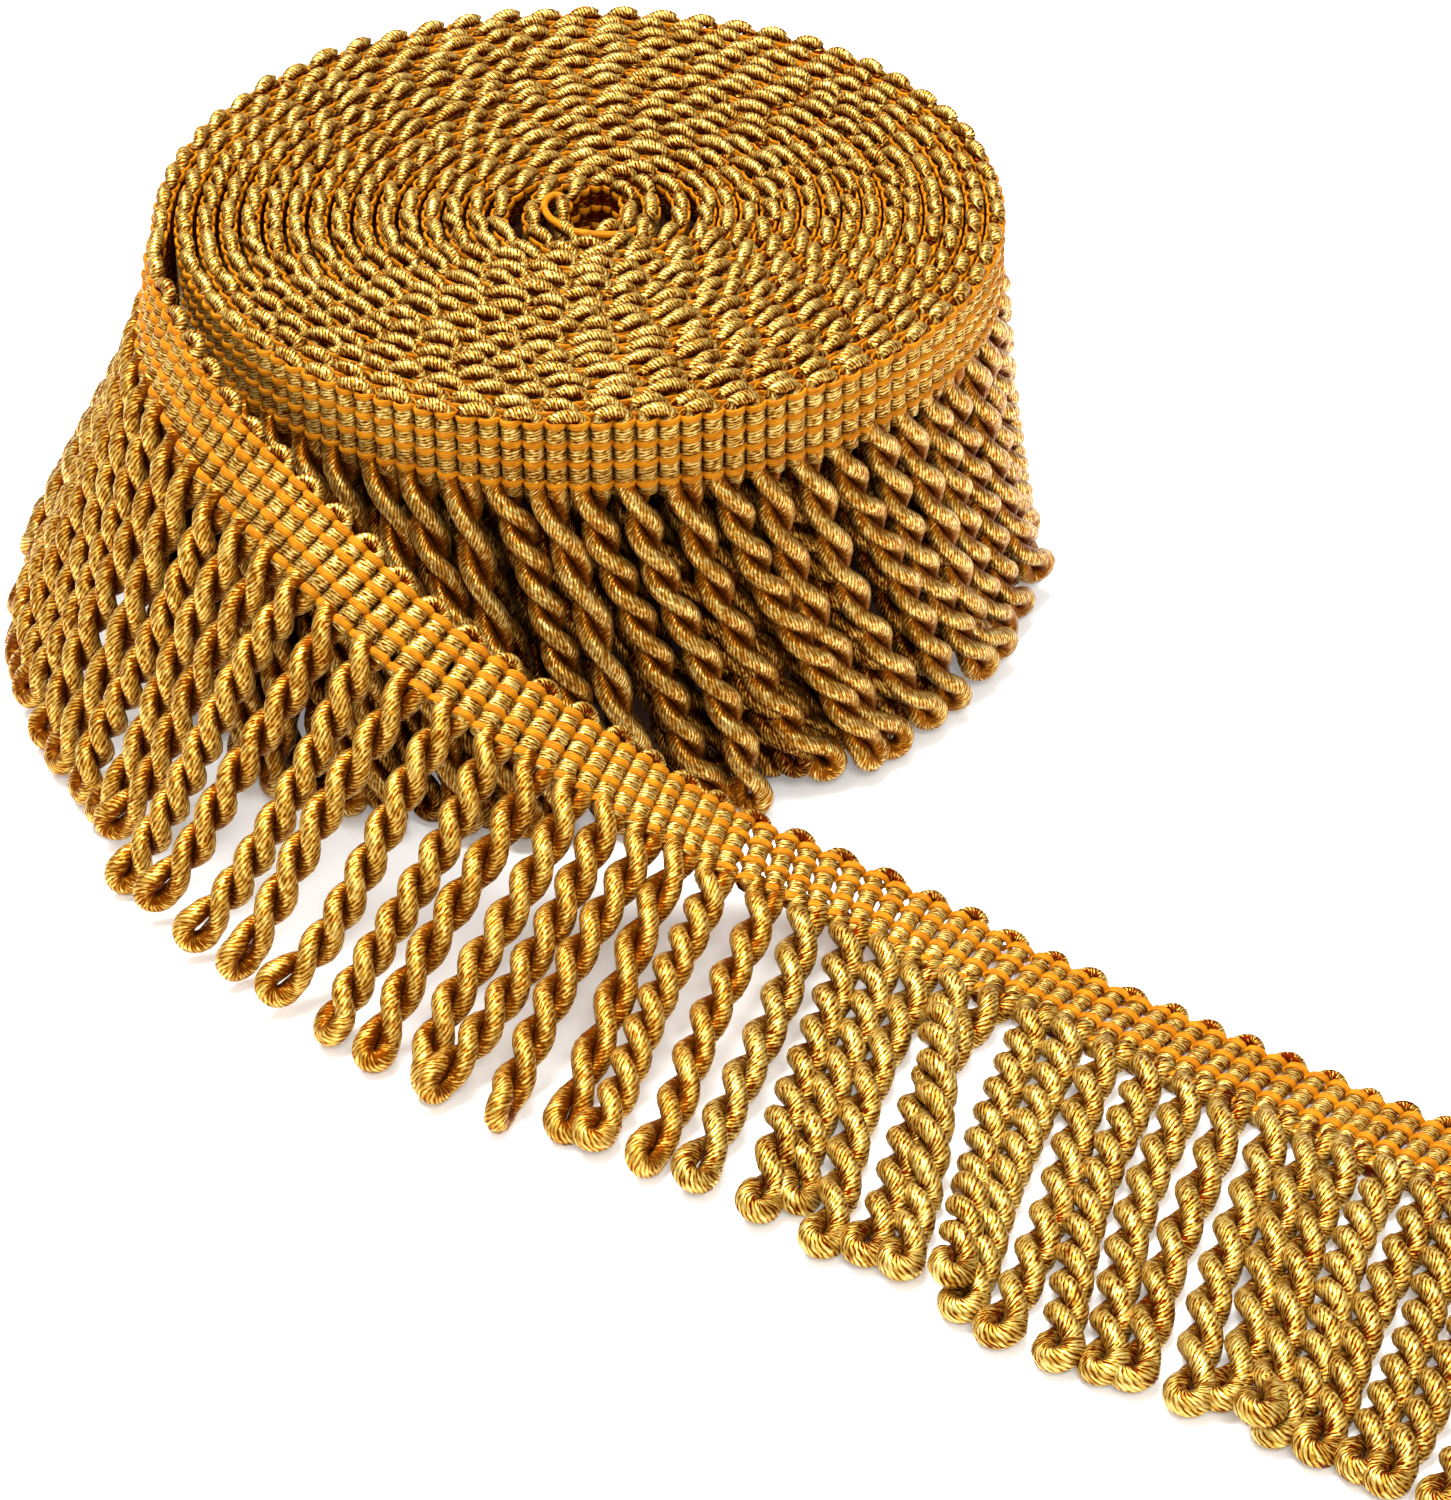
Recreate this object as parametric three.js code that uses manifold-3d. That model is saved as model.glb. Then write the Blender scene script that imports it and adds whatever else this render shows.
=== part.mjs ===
// Tassel fringe trim: a metallic bullion fringe wound into a flat roll that stands on its strands,
// with the last stretch of the trim unrolled in front of the roll and lying down on the floor.
// Millimetres, +Z up, the roll's axis on Z and the floor at z = 0. Angles turn about Z from +X.

import * as THREE from "three";
import { mergeVertices } from "three/addons/utils/BufferGeometryUtils.js";
import Module from "manifold-3d";

const wasm = await Module();
wasm.setup();
const { degToRad, radToDeg, lerp } = THREE.MathUtils;

// Driving dimensions of the trim
const CORD_PITCH = 2.36; // one gold cord to the next along the heading
const STRAND_PITCH = 2 * CORD_PITCH; // a strand is two neighbouring cords twisted together
const STRAND_RADIUS = 1.75; // from a strand's axis to its corners
const HEADING_WIDTH = 9.5; // the woven band above the strands
const HEADING_THICKNESS = 2.1;
const FOOT_WIDTH = 2; // the heading's lowest row, which holds the strands
const GAP = 0.3; // clear space between neighbouring pieces

// Driving dimensions of the roll
const TURN_PITCH = 2.4; // one turn of the heading to the next
const INNER_RADIUS = 4.3; // middle of the heading at the start of the innermost turn
const OUTER_RADIUS = 47.2; // middle of the heading where the loose end leaves the roll
const ROLL_HEIGHT = 50.5;
const LEAVING_ANGLE = 188; // direction in which the outermost turn ends
const STEP_ANGLE = 3; // the outermost turn tapers off over this angle
const EYE_SHIFT = new THREE.Vector3(2.0, -2.1, 0); // the inner turns' middle from the roll's axis
const EYE_DEPTH = 13; // open middle of the roll, down to where the inner strands close it
const GROOVE_WIDTH = 1.1; // between the tops of two turns
const GROOVE_DEPTH = 1.9;
const EDGE = 0.6; // softened edges of the heading's top

// The packed inner strands under the heading: a skirt that spreads towards the floor.
// height: above the floor, spread: out from the outermost turn's middle, flute: depth of the ribs.
const SKIRT_SECTIONS = [
  { height: 0, spread: 1.6, flute: 0.6 },
  { height: 9, spread: 0.2, flute: 0.6 },
  { height: 24, spread: -2.2, flute: 0.6 },
  { height: 37, spread: -3.6, flute: 0.4 },
];

// How the roll's outer strands hang, at even steps round the roll up to where the loose end leaves.
// lean: degrees by which their ends turn from straight out towards the way of winding.
// length: of a strand, from the middle of the heading's foot to its looped end.
const HANGING = [
  { lean: 40, length: 44 },
  { lean: 74, length: 44 },
  { lean: 78, length: 44 },
  { lean: 70, length: 44 },
  { lean: 55, length: 44 },
  { lean: 15, length: 45 },
  { lean: -16, length: 46 },
];
const HANG_UNEVEN = 3; // degrees by which single strands turn from their neighbours
const HANG_STEEPNESS = 2; // fall for each step outwards at the end of a hanging strand
const HIDDEN_ANGLE = 24; // behind the start of the loose end no outer strands hang

// The loose end of the trim, from the roll to its cut end.
// x, y, z: middle of the heading's top edge. lean: degrees from upright towards lying flat.
// toe: the direction, in degrees, towards which the strands come down on the floor.
// length: of a strand, as above. The sloping ones have twisted up shorter than the others.
// wide: width of the heading, which spreads where it lies slack.
const LOOSE_END = [
  { x: -47.3, y: -9.4, z: 50.5, lean: 8, toe: 172, length: 45.2, wide: 9.5 },
  { x: -44.6, y: -18.9, z: 50.0, lean: 20, toe: 178, length: 45.2, wide: 9.5 },
  { x: -36.3, y: -34.4, z: 46.3, lean: 34, toe: 187, length: 43, wide: 9.5 },
  { x: -24.4, y: -46.5, z: 40.0, lean: 47, toe: 198, length: 39.5, wide: 9.5 },
  { x: -12.2, y: -54.4, z: 31.2, lean: 58, toe: 220, length: 37.5, wide: 9.5 },
  { x: 2.7, y: -58.6, z: 21.0, lean: 68, toe: 241, length: 38, wide: 9.5 },
  { x: 17.9, y: -61.5, z: 11.3, lean: 77, toe: 256, length: 42, wide: 9.7 },
  { x: 34.8, y: -65.2, z: 4.6, lean: 85, toe: 255.5, length: 44, wide: 10.3 },
  { x: 51.4, y: -74.2, z: 1.05, lean: 90, toe: 255.5, length: 45, wide: 10.9 },
  { x: 67.0, y: -85.6, z: 1.05, lean: 90, toe: 255.5, length: 45, wide: 11.2 },
  { x: 82.4, y: -96.4, z: 1.05, lean: 90, toe: 255.5, length: 43.5, wide: 11.2 },
  { x: 105.5, y: -112.6, z: 1.05, lean: 90, toe: 255.5, length: 43.5, wide: 11.2 },
];
const HANGING_STRANDS = 23; // strands of the loose end that hang, before the ones that lie flat
const LOOSE_STATIONS = 48;
const LOOSE_UNEVEN = 0.3; // degrees by which single strands turn from their neighbours

// Shares of a strand's length along which it keeps the direction of its root and of its end
const ROOT_PULL = 0.14;
const END_PULL = 0.14;

// How finely the shapes are divided
const OUTLINE_POINTS = 124;
const STRAND_STEPS = 5;
const STRAND_TWIST = 36; // degrees from one step of a strand to the next
const GROOVE_STEP = 7;
const GROOVE_STEP_ANGLE = 20;

// Materials
const goldYarn = () =>
  new THREE.MeshStandardMaterial({ color: "#c08a2c", roughness: 0.45, metalness: 0.6 });
const goldBraid = () =>
  new THREE.MeshStandardMaterial({ color: "#d6982f", roughness: 0.55, metalness: 0.4 });

// Heights that follow from the driving dimensions
const FOOT_BOTTOM = ROLL_HEIGHT - HEADING_WIDTH;
const FOOT_TOP = FOOT_BOTTOM + FOOT_WIDTH;
const HEADING_BOTTOM = FOOT_TOP + GAP;
const BAND_WIDTH = HEADING_WIDTH - FOOT_WIDTH - GAP;
const UP = new THREE.Vector3(0, 0, 1);

// An even spread of repeatable values from -1 to 1, for unevenness.
function uneven(index, salt) {
  const value = Math.sin(index * 12.9898 + salt * 78.233) * 43758.5453;
  return 2 * (value - Math.floor(value)) - 1;
}

// A column's value between a table's evenly spread rows, at a share of the way through them
function between(rows, column, share) {
  const place = share * (rows.length - 1);
  const row = Math.min(Math.floor(place), rows.length - 2);
  return lerp(rows[row][column], rows[row + 1][column], place - row);
}

function polar(radius, degrees, z) {
  const a = degToRad(degrees);
  return new THREE.Vector3(radius * Math.cos(a), radius * Math.sin(a), z);
}

// Middle of the heading in the roll. The angle falls below LEAVING_ANGLE by 360 for each turn inwards.
function turnRadius(degrees) {
  return OUTER_RADIUS - (TURN_PITCH * (LEAVING_ANGLE - degrees)) / 360;
}

// A place in the roll. The turns' middle drifts from the roll's axis to that of the eye.
function wound(radius, degrees, z) {
  return polar(radius, degrees, z).addScaledVector(EYE_SHIFT, 1 - radius / OUTER_RADIUS);
}

// A closed solid through rings of as many points each, with a fan of triangles on both ends.
// Each ring runs counterclockwise as seen from the next one.
function loft(rings) {
  const sides = rings[0].length;
  const points = rings.flat();
  const triangles = [];
  for (let r = 0; r + 1 < rings.length; r++) {
    for (let k = 0; k < sides; k++) {
      const a = r * sides + k;
      const b = r * sides + ((k + 1) % sides);
      triangles.push(a, b, b + sides, a, b + sides, a + sides);
    }
  }
  const middle = (ring) =>
    ring.reduce((sum, p) => sum.add(p), new THREE.Vector3()).divideScalar(sides);
  const first = points.push(middle(rings[0])) - 1;
  const last = points.push(middle(rings.at(-1))) - 1;
  const lastRing = (rings.length - 1) * sides;
  for (let k = 0; k < sides; k++) {
    const next = (k + 1) % sides;
    triangles.push(first, next, k, last, lastRing + k, lastRing + next);
  }
  return new THREE.BufferGeometry().setFromPoints(points).setIndex(triangles);
}

// A ring that would dip below the floor is lifted to rest on it.
function settle(ring) {
  const lowest = Math.min(...ring.map((p) => p.z));
  if (lowest < 0) ring.forEach((p) => (p.z -= lowest));
  return ring;
}

// Joining and cutting
function solidOf(geometry) {
  const merged = mergeVertices(geometry.clone(), 1e-4);
  return new wasm.Manifold(
    new wasm.Mesh({
      numProp: 3,
      vertProperties: merged.attributes.position.array,
      triVerts: new Uint32Array(merged.index.array),
    }),
  );
}

function geometryOf(solid) {
  const { vertProperties, triVerts } = solid.getMesh();
  const geometry = new THREE.BufferGeometry();
  geometry.setAttribute("position", new THREE.BufferAttribute(vertProperties, 3));
  geometry.setIndex(new THREE.BufferAttribute(triVerts, 1));
  geometry.computeVertexNormals();
  return geometry;
}

function fuse(backing, strands) {
  return geometryOf(wasm.Manifold.union([backing, ...strands].map(solidOf)));
}

function piece(name, geometry, material) {
  const mesh = new THREE.Mesh(geometry, material);
  mesh.name = name;
  return mesh;
}

// Outline of the outermost turn with the step where it ends, moved out by spread.
function turnOutline(height, spread, flute = 0) {
  const ring = [];
  for (let k = 1; k <= OUTLINE_POINTS; k++) {
    const angle = LEAVING_ANGLE - 360 + (360 * k) / OUTLINE_POINTS;
    ring.push(wound(turnRadius(angle) + spread + (k % 2 ? flute : -flute), angle, height));
  }
  return ring;
}

function eyeOutline(height, radius) {
  const ring = [];
  for (let k = 1; k <= OUTLINE_POINTS; k++) {
    ring.push(wound(radius, LEAVING_ANGLE - 360 + (360 * k) / OUTLINE_POINTS, height));
  }
  return ring;
}

// The furrow between the tops of neighbouring turns, from the eye to the end of the last turn.
function spiralGroove() {
  const rings = [];
  const innermost = LEAVING_ANGLE - (360 * (OUTER_RADIUS - INNER_RADIUS)) / TURN_PITCH;
  const outermost = LEAVING_ANGLE - 360 + STEP_ANGLE;
  let angle = innermost;
  while (angle < outermost) {
    const radius = turnRadius(angle) + TURN_PITCH / 2;
    rings.push([
      wound(radius + GROOVE_WIDTH / 2, angle, ROLL_HEIGHT),
      wound(radius, angle, ROLL_HEIGHT - GROOVE_DEPTH),
      wound(radius - GROOVE_WIDTH / 2, angle, ROLL_HEIGHT),
    ]);
    angle += Math.min(GROOVE_STEP_ANGLE, radToDeg(GROOVE_STEP / radius));
  }
  return loft(rings);
}

// The wound roll: skirt of packed inner strands, heading wall, top with its turns, and the eye.
function makeRoll() {
  const half = HEADING_THICKNESS / 2;
  const eye = INNER_RADIUS - half;
  const neck = SKIRT_SECTIONS.at(-1).spread;
  const body = loft([
    ...SKIRT_SECTIONS.map((s) => turnOutline(s.height, s.spread, s.flute)),
    turnOutline(HEADING_BOTTOM, neck),
    turnOutline(HEADING_BOTTOM, half),
    turnOutline(ROLL_HEIGHT - EDGE, half),
    turnOutline(ROLL_HEIGHT, half - EDGE),
    eyeOutline(ROLL_HEIGHT, eye + EDGE),
    eyeOutline(ROLL_HEIGHT - EDGE, eye),
    eyeOutline(ROLL_HEIGHT - EYE_DEPTH, eye),
  ]);
  return geometryOf(solidOf(body).subtract(solidOf(spiralGroove())));
}

// A strand along an axis. along is the direction of the heading at its root.
function strand(axis, along) {
  const rings = [];
  for (let step = 0; step <= STRAND_STEPS; step++) {
    const share = step / STRAND_STEPS;
    const centre = axis.getPointAt(share);
    const ahead = axis.getTangentAt(share);
    const side = along.clone().addScaledVector(ahead, -along.dot(ahead)).normalize();
    const front = new THREE.Vector3().crossVectors(ahead, side);
    const ring = [45, 135, 225, 315].map((corner) => {
      const turn = degToRad(corner + step * STRAND_TWIST);
      return centre
        .clone()
        .addScaledVector(side, STRAND_RADIUS * Math.cos(turn))
        .addScaledVector(front, STRAND_RADIUS * Math.sin(turn));
    });
    rings.push(settle(ring));
  }
  return loft(rings);
}

// The line of a strand that leaves its root along out and comes down on the floor towards toe.
// The end is moved along toe until the line has its length.
function strandAxis(root, out, toe, landing, length) {
  const floorHeight = STRAND_RADIUS * Math.hypot(landing.x, landing.y);
  let near = 0;
  let far = length;
  let line;
  for (let round = 0; round < 20; round++) {
    const reach = (near + far) / 2;
    const end = new THREE.Vector3(root.x, root.y, floorHeight).addScaledVector(toe, reach);
    line = new THREE.CubicBezierCurve3(
      root,
      root.clone().addScaledVector(out, ROOT_PULL * length),
      end.clone().addScaledVector(landing, -END_PULL * length),
      end,
    );
    if (line.getLength() < length) near = reach;
    else far = reach;
  }
  return line;
}

// Outermost turn's foot with the strands that hang round the roll
function makeRollFringe() {
  const start = LEAVING_ANGLE - 360 + HIDDEN_ANGLE;
  const degreesPerStrand = radToDeg(STRAND_PITCH / OUTER_RADIUS);
  const count = Math.floor((LEAVING_ANGLE - start) / degreesPerStrand);
  const half = HEADING_THICKNESS / 2;
  const foot = [];
  const strands = [];
  for (let k = 0; k <= count; k++) {
    const angle = start + k * degreesPerStrand;
    const radius = turnRadius(angle);
    foot.push([
      wound(radius - half, angle, FOOT_BOTTOM),
      wound(radius - half, angle, FOOT_TOP),
      wound(radius + half, angle, FOOT_TOP),
      wound(radius + half, angle, FOOT_BOTTOM),
    ]);
    if (k === count) break;
    const middle = angle + degreesPerStrand / 2;
    const root = wound(turnRadius(middle), middle, FOOT_BOTTOM + FOOT_WIDTH / 2);
    const outward = polar(1, middle, 0);
    const along = new THREE.Vector3(-outward.y, outward.x, 0);
    const share = (middle - start) / (LEAVING_ANGLE - start);
    const lean = between(HANGING, "lean", share);
    const length = between(HANGING, "length", share);
    const toe = polar(1, middle + lean + HANG_UNEVEN * uneven(k, 1), 0);
    const landing = toe.clone().addScaledVector(UP, -HANG_STEEPNESS).normalize();
    strands.push(strand(strandAxis(root, UP.clone().negate(), toe, landing, length), along));
  }
  return fuse(loft(foot), strands);
}

// Frame of the loose end's heading at a share of its length: its top edge, the direction along it,
// the direction across it from the top edge to the strands, the normal of its face, and how much wider
// it is than in the roll.
const looseEdge = new THREE.CatmullRomCurve3(
  LOOSE_END.map((s) => new THREE.Vector3(s.x, s.y, s.z)),
);

const LOOSE_STRANDS = Math.floor(looseEdge.getLength() / STRAND_PITCH);

function looseValue(column, share) {
  return between(LOOSE_END, column, looseEdge.getUtoTmapping(share));
}

function looseFrame(share) {
  const edge = looseEdge.getPointAt(share);
  const along = looseEdge.getTangentAt(share);
  const outward = new THREE.Vector3().crossVectors(along, UP).normalize();
  const upright = new THREE.Vector3().crossVectors(outward, along);
  const lean = degToRad(looseValue("lean", share));
  const across = outward.clone().multiplyScalar(Math.sin(lean));
  across.addScaledVector(upright, -Math.cos(lean));
  const normal = new THREE.Vector3().crossVectors(along, across);
  const spread = looseValue("wide", share) / HEADING_WIDTH;
  return { edge, along, across, normal, spread };
}

// A stretch of the loose heading between two distances from its top edge
function looseBand(from, to, startShare, endShare) {
  const rings = [];
  const steps = Math.round(LOOSE_STATIONS * (endShare - startShare));
  for (let k = 0; k <= steps; k++) {
    const share = lerp(startShare, endShare, k / steps);
    const { edge, across, normal, spread } = looseFrame(share);
    const corner = (distance, side) =>
      edge
        .clone()
        .addScaledVector(across, distance * spread)
        .addScaledVector(normal, (side * HEADING_THICKNESS) / 2);
    rings.push(settle([corner(from, -1), corner(to, -1), corner(to, 1), corner(from, 1)]));
  }
  return loft(rings);
}

// The heading's foot with the strands from one number to before another, counted from the roll
function makeLooseFringe(first, last) {
  const strands = [];
  for (let k = first; k < last; k++) {
    const share = (k + 0.5) / LOOSE_STRANDS;
    const { edge, along, across, spread } = looseFrame(share);
    const root = edge.clone().addScaledVector(across, (HEADING_WIDTH - FOOT_WIDTH / 2) * spread);
    root.z = Math.max(root.z, STRAND_RADIUS);
    const toe = polar(1, looseValue("toe", share) + LOOSE_UNEVEN * uneven(k, 3), 0);
    const length = looseValue("length", share);
    const landing = toe.clone().addScaledVector(UP, -root.z / length).normalize();
    strands.push(strand(strandAxis(root, across, toe, landing, length), along));
  }
  const startShare = first / LOOSE_STRANDS + (first > 0 ? GAP / looseEdge.getLength() : 0);
  const foot = looseBand(HEADING_WIDTH - FOOT_WIDTH, HEADING_WIDTH, startShare, last / LOOSE_STRANDS);
  return fuse(foot, strands);
}

const trim = new THREE.Group();
trim.add(
  piece("roll", makeRoll(), goldBraid()),
  piece("roll_fringe", makeRollFringe(), goldYarn()),
  piece("loose_heading", looseBand(0, BAND_WIDTH, 0, 1), goldBraid()),
  piece("loose_fringe_hanging", makeLooseFringe(0, HANGING_STRANDS), goldYarn()),
  piece("loose_fringe_lying", makeLooseFringe(HANGING_STRANDS, LOOSE_STRANDS), goldYarn()),
);

export default trim;
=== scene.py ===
# %% [markdown]
# # A rolled bullion fringe
# The object is a gold fringe trim: a narrow woven heading with twisted strands hanging from it, wound into
# a flat roll, with the last stretch unrolled in front. The solids already hold the roll, the strands and the
# loose end at their real size, so this script only dresses them: cords, yarns, twist, colour and light.

# %% Load the frame
import math

import bpy
import numpy as np
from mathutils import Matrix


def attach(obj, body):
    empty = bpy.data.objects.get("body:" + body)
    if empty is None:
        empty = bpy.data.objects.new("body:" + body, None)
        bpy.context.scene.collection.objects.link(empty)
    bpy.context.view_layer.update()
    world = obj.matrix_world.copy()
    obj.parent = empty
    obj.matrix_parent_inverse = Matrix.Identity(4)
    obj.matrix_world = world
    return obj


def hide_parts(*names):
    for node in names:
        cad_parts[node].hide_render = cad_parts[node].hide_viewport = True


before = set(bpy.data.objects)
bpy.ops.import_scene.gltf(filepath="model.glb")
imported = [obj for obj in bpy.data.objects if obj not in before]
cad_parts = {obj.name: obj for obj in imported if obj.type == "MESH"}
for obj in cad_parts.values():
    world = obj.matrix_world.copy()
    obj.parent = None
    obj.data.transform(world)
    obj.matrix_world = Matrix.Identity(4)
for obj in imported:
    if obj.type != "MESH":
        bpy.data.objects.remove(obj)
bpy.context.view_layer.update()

MM = 0.001
print("nodes", sorted(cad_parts))

# %% [markdown]
# ## The view
# A roll on a table is seen from a little above. A long lens keeps the round top from looking stretched.
# The place, tilt and lens were worked out beforehand from points picked in the photograph, mainly on the
# round top and the loose end. Setting them directly is simpler than a camera that tracks a target.

# %% Camera
CAMERA_PLACE = (15.8 * MM, -456.5 * MM, 302.9 * MM)
CAMERA_DOWN = 35.76
CAMERA_LENS = 111.3
CAMERA_SENSOR = 36

camera_data = bpy.data.cameras.new("view")
camera_data.lens = CAMERA_LENS
camera_data.sensor_width = CAMERA_SENSOR
camera = bpy.data.objects.new("view", camera_data)
camera.location = CAMERA_PLACE
camera.rotation_euler = (math.radians(90 - CAMERA_DOWN), 0, 0)
bpy.context.collection.objects.link(camera)
bpy.context.scene.camera = camera
print("camera looks down by", CAMERA_DOWN, "degrees")

# %% [markdown]
# ## Floor and light
# The trim lies on a plain white table in soft light. Metallic yarn shows by what it mirrors. A large lamp
# above lights the top of the roll, a small one in front draws a bright line along every cord, and a weak one
# on the right softens the shadows. The sky is bright above and dark below, so the gaps between the cords stay
# dark. The table glows a little of itself, which keeps it white without more lamps.

# %% Floor
FLOOR_SIZE = 6.0
FLOOR_WHITE = (0.9, 0.9, 0.895, 1)
FLOOR_GLOW = 0.25

floor_mesh = bpy.data.meshes.new("floor")
half_floor = FLOOR_SIZE / 2
floor_corners = [(-half_floor, -half_floor, 0), (half_floor, -half_floor, 0)]
floor_corners += [(half_floor, half_floor, 0), (-half_floor, half_floor, 0)]
floor_mesh.from_pydata(floor_corners, [], [(0, 1, 2, 3)])
floor = bpy.data.objects.new("floor", floor_mesh)
bpy.context.collection.objects.link(floor)

floor_finish = bpy.data.materials.new("table_white")
floor_finish.use_nodes = True
floor_shader = floor_finish.node_tree.nodes["Principled BSDF"]
floor_shader.inputs["Base Color"].default_value = FLOOR_WHITE
floor_shader.inputs["Roughness"].default_value = 0.8
floor_shader.inputs["Specular IOR Level"].default_value = 0.2
floor_shader.inputs["Emission Color"].default_value = FLOOR_WHITE
floor_shader.inputs["Emission Strength"].default_value = FLOOR_GLOW
floor_mesh.materials.append(floor_finish)
print("floor of", FLOOR_SIZE, "m")

# %% Lamps
LAMPS = [
    {"name": "top", "place": (-0.2, 0.15, 1.1), "size": 0.7, "power": 27},
    {"name": "key", "place": (0.1, -0.75, 0.75), "size": 0.3, "power": 4.6},
    {"name": "fill", "place": (0.6, -0.8, 0.6), "size": 0.6, "power": 1},
]
LAMPS_LOOK_AT = (0.0, -0.03, 0.02)


def aim(thing, target):
    """Turns a lamp so that it shines at the target."""
    away = np.array(thing.location) - np.array(target)
    thing.rotation_euler = (
        math.atan2(math.hypot(away[0], away[1]), away[2]),
        0,
        math.atan2(away[1], away[0]) + math.pi / 2,
    )


for lamp in LAMPS:
    lamp_data = bpy.data.lights.new(lamp["name"], "AREA")
    lamp_data.energy = lamp["power"]
    lamp_data.size = lamp["size"]
    lamp_object = bpy.data.objects.new(lamp["name"], lamp_data)
    lamp_object.location = lamp["place"]
    aim(lamp_object, LAMPS_LOOK_AT)
    bpy.context.collection.objects.link(lamp_object)
print(len(LAMPS), "lamps")

# %% Sky
SKY_STEPS = [(0.5, (0.08, 0.08, 0.08)), (0.7, (0.4, 0.4, 0.39)), (1.0, (0.85, 0.85, 0.84))]
HALF = 0.5  # half of a height from -1 to 1, plus a half, is a share from 0 to 1

sky = bpy.data.worlds.new("studio")
sky.use_nodes = True
sky_nodes = sky.node_tree.nodes
sky_links = sky.node_tree.links
sky_way = sky_nodes.new("ShaderNodeTexCoord")
sky_height = sky_nodes.new("ShaderNodeSeparateXYZ")
sky_share = sky_nodes.new("ShaderNodeMath")
sky_share.operation = "MULTIPLY_ADD"
sky_share.inputs[1].default_value = HALF
sky_share.inputs[2].default_value = HALF
sky_ramp = sky_nodes.new("ShaderNodeValToRGB")
sky_ramp.color_ramp.elements.new(0.5)
for element, (place, colour) in zip(sky_ramp.color_ramp.elements, SKY_STEPS):
    element.position = place
    element.color = (*colour, 1)
sky_links.new(sky_way.outputs["Generated"], sky_height.inputs[0])
sky_links.new(sky_height.outputs["Z"], sky_share.inputs[0])
sky_links.new(sky_share.outputs[0], sky_ramp.inputs["Fac"])
sky_links.new(sky_ramp.outputs["Color"], sky_nodes["Background"].inputs["Color"])
bpy.context.scene.world = sky
bpy.context.scene.view_settings.view_transform = "Standard"
print("sky in", len(SKY_STEPS), "steps")

# %% [markdown]
# ## Measures of the weave and the roll
# A fringe maker would give these few numbers: how close the cords lie, how wide the heading is and how the
# band is wound. Angles are in degrees. The eye of the roll is not round: its turns are shifted to one side,
# squeezed from the left and right and stretched to the back, more so the nearer they lie to the inner end.

# %% Weave and roll
CORD_PITCH = 2.36 * MM
STRAND_PITCH = 2 * CORD_PITCH
STRAND_RADIUS = 1.75 * MM
HEADING_WIDTH = 9.5 * MM
FOOT_WIDTH = 2 * MM

TURN_PITCH = 2.4 * MM
INNER_RADIUS = 4.3 * MM
OUTER_RADIUS = 47.2 * MM
ROLL_HEIGHT = 50.5 * MM
LEAVING_ANGLE = 188

EYE_SHIFT = np.array([2.0, -2.1, 0]) * MM
EYE_MIDDLE = 1.7 * MM
EYE_SQUEEZE = 0.35
EYE_FRONT = -6 * MM
EYE_STRETCH = 0.16
EYE_SQUEEZED = 170 * MM
EYE_FADE = 150 * MM

UP = np.array([0.0, 0.0, 1.0])
ROLL_LENGTH = math.pi * (OUTER_RADIUS**2 - INNER_RADIUS**2) / TURN_PITCH
print("wound length", round(ROLL_LENGTH, 2), "m")

# %% [markdown]
# ## Measures of the fringe and the loose end
# Yarn that hangs freely follows no formula, so three tables say how it lies, in millimetres and degrees.
# `HANGING` has seven places round the roll, from the loose end onwards: how far the strands lean sideways,
# their length, and their lay, which stretches the twist. `LOOSE_END` follows the top edge of the loose band
# from the roll to its cut end. `LOOSE_STRAND_FIT` moves single strands of the loose end: `shift` along the
# band, in strands, then `turn`, `longer` and a sideways `bow`. The last two tables began as places picked in
# the photograph and worked out as sizes, and were then rounded and changed.

# %% Fringe round the roll
HANGING_COLUMNS = ("lean", "length", "lay")
HANGING = [
    (40, 44, 1.35),
    (74, 44, 1.4),
    (78, 44, 1.2),
    (70, 44, 1.0),
    (55, 44, 1.1),
    (15, 45, 1.2),
    (-16, 46, 1.0),
]
HANG_UNEVEN = 3
HANG_STEEPNESS = 2
HIDDEN_ANGLE = 24
print(len(HANGING), "places round the roll")

# %% Loose end
LOOSE_COLUMNS = ("x", "y", "z", "lean", "toe", "length", "wide")
LOOSE_END = [
    (-47.3, -9.4, 50.5, 8, 172, 45.2, 9.5),
    (-44.6, -18.9, 50.0, 20, 178, 45.2, 9.5),
    (-36.3, -34.4, 46.3, 34, 187, 43, 9.5),
    (-24.4, -46.5, 40.0, 47, 198, 39.5, 9.5),
    (-12.2, -54.4, 31.2, 58, 220, 37.5, 9.5),
    (2.7, -58.6, 21.0, 68, 241, 38, 9.5),
    (17.9, -61.5, 11.3, 77, 256, 42, 9.7),
    (34.8, -65.2, 4.6, 85, 255.5, 44, 10.3),
    (51.4, -74.2, 1.05, 90, 255.5, 45, 10.9),
    (67.0, -85.6, 1.05, 90, 255.5, 45, 11.2),
    (82.4, -96.4, 1.05, 90, 255.5, 43.5, 11.2),
    (105.5, -112.6, 1.05, 90, 255.5, 43.5, 11.2),
]
STRAND_COLUMNS = ("strand", "shift", "turn", "longer", "bow")
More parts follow.
